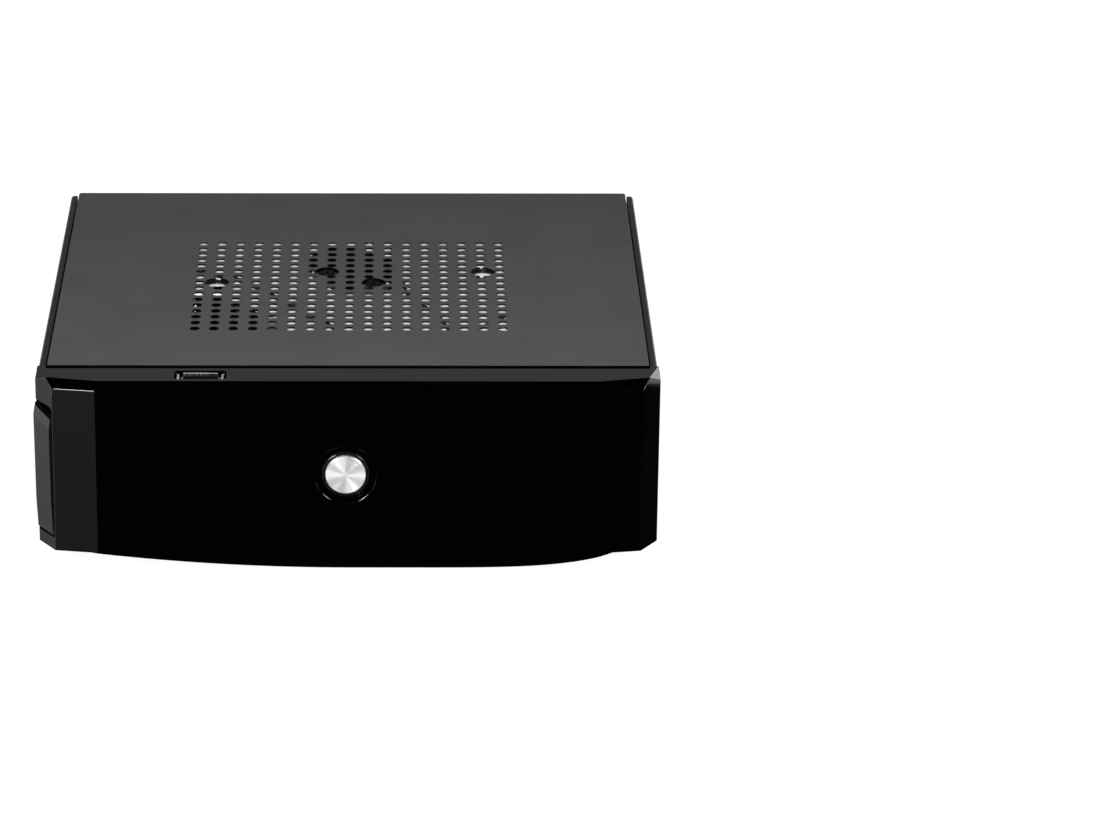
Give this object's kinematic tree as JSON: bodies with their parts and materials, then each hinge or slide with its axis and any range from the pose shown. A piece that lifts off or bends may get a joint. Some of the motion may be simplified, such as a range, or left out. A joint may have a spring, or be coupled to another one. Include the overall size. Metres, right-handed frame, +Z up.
{
  "type": "digital video recorder",
  "caption": "Compact desktop video recorder in a flat black steel case with a perforated cover, glossy front, round power button and side port door.",
  "frame": {"origin": "bottom centre of the whole recorder, on the surface its feet stand on", "axes": "+Z up, the front with the power button faces -Y, +X to the right seen from the front"},
  "size_m": [0.2358, 0.2246, 0.076],
  "materials": {
    "case_steel": "satin black powder coat",
    "bezel_gloss": "piano black moulding",
    "satin_plastic": "satin black moulding",
    "rubber_black": "matte",
    "zinc_steel": "zinc plated sheet",
    "bright_steel": "nickel plated",
    "aluminium": "machined",
    "smoked_ring": "smoked translucent moulding",
    "circuit_board": "green solder mask",
    "socket_black": "black moulded insulator",
    "socket_white": "white moulded insulator",
    "cable_black": "smooth vinyl jacket",
    "chip_package": "matte package"
  },
  "bodies": {
    "case": {"door_hinge_pin": "bright_steel", "port_board": "circuit_board", "port_usb_upper": "bright_steel", "port_usb_lower": "bright_steel", "port_usb_tongue_upper": "socket_black", "port_usb_tongue_lower": "socket_black", "audio_jack_upper": "socket_black", "audio_jack_lower": "socket_black", "chassis_base": "case_steel", "top_cover": "case_steel", "side_panel_left": "case_steel", "side_panel_right": "case_steel", "cover_screw_left": "case_steel", "cover_screw_right": "case_steel", "foot_1": "rubber_black", "foot_2": "rubber_black", "foot_3": "rubber_black", "foot_4": "rubber_black", "front_bezel": "bezel_gloss", "button_trim": "bezel_gloss", "light_ring": "smoked_ring", "switch_board": "circuit_board", "power_switch": "socket_black", "top_usb_shell": "bright_steel", "top_usb_tongue": "socket_black", "top_usb_board": "circuit_board", "main_board": "circuit_board", "board_screw_1": "zinc_steel", "board_screw_2": "zinc_steel", "board_screw_3": "zinc_steel", "board_screw_4": "zinc_steel", "processor": "chip_package", "heat_sink": "aluminium", "fan_frame": "socket_black", "drive_tray": "zinc_steel", "insulating_pad": "rubber_black", "hard_drive": "aluminium", "drive_plug": "socket_black", "tray_screw_left": "case_steel", "tray_screw_right": "case_steel", "data_cable": "cable_black", "power_lead_1": "cable_black", "power_lead_2": "cable_black", "io_plate": "zinc_steel", "bnc_input_1": "bright_steel", "bnc_input_2": "bright_steel", "bnc_input_3": "bright_steel", "bnc_input_4": "bright_steel", "rca_audio_in": "socket_black", "rca_audio_out": "socket_white", "vga_socket": "bright_steel", "hdmi_socket": "bright_steel", "usb_stack": "bright_steel", "lan_socket": "bright_steel", "dc_inlet": "socket_black"},
    "button": {"button_cap": "aluminium", "button_stem": "satin_plastic"},
    "plunger": {"switch_plunger": "socket_black"},
    "door": {"port_door": "satin_plastic"},
    "rotor": {"fan_rotor": "socket_black"}
  },
  "joints": [
    {"name": "power_button_press", "type": "slide", "parent": "case", "child": "button", "axis": [0, 1, 0], "range_m": [0, 0.001], "stiffness_N_per_m": 400, "springref_m": -0.0005},
    {"name": "switch_plunger_travel", "type": "slide", "parent": "case", "child": "plunger", "axis": [0, 1, 0], "range_m": [0, 0.001]},
    {"name": "port_door_hinge", "type": "hinge", "parent": "case", "child": "door", "pos_m": [-0.11289, -0.10433, 0.0135], "axis": [0.5624, -0.8268, 0], "range_deg": [0, 90]},
    {"name": "fan_spin", "type": "hinge", "parent": "case", "child": "rotor", "pos_m": [-0.0175, 0.03525, 0.0436], "axis": [0, 0, 1], "continuous": true}
  ],
  "couplings": [
    {"joint": "switch_plunger_travel", "follows": "power_button_press", "ratio": 1}
  ]
}
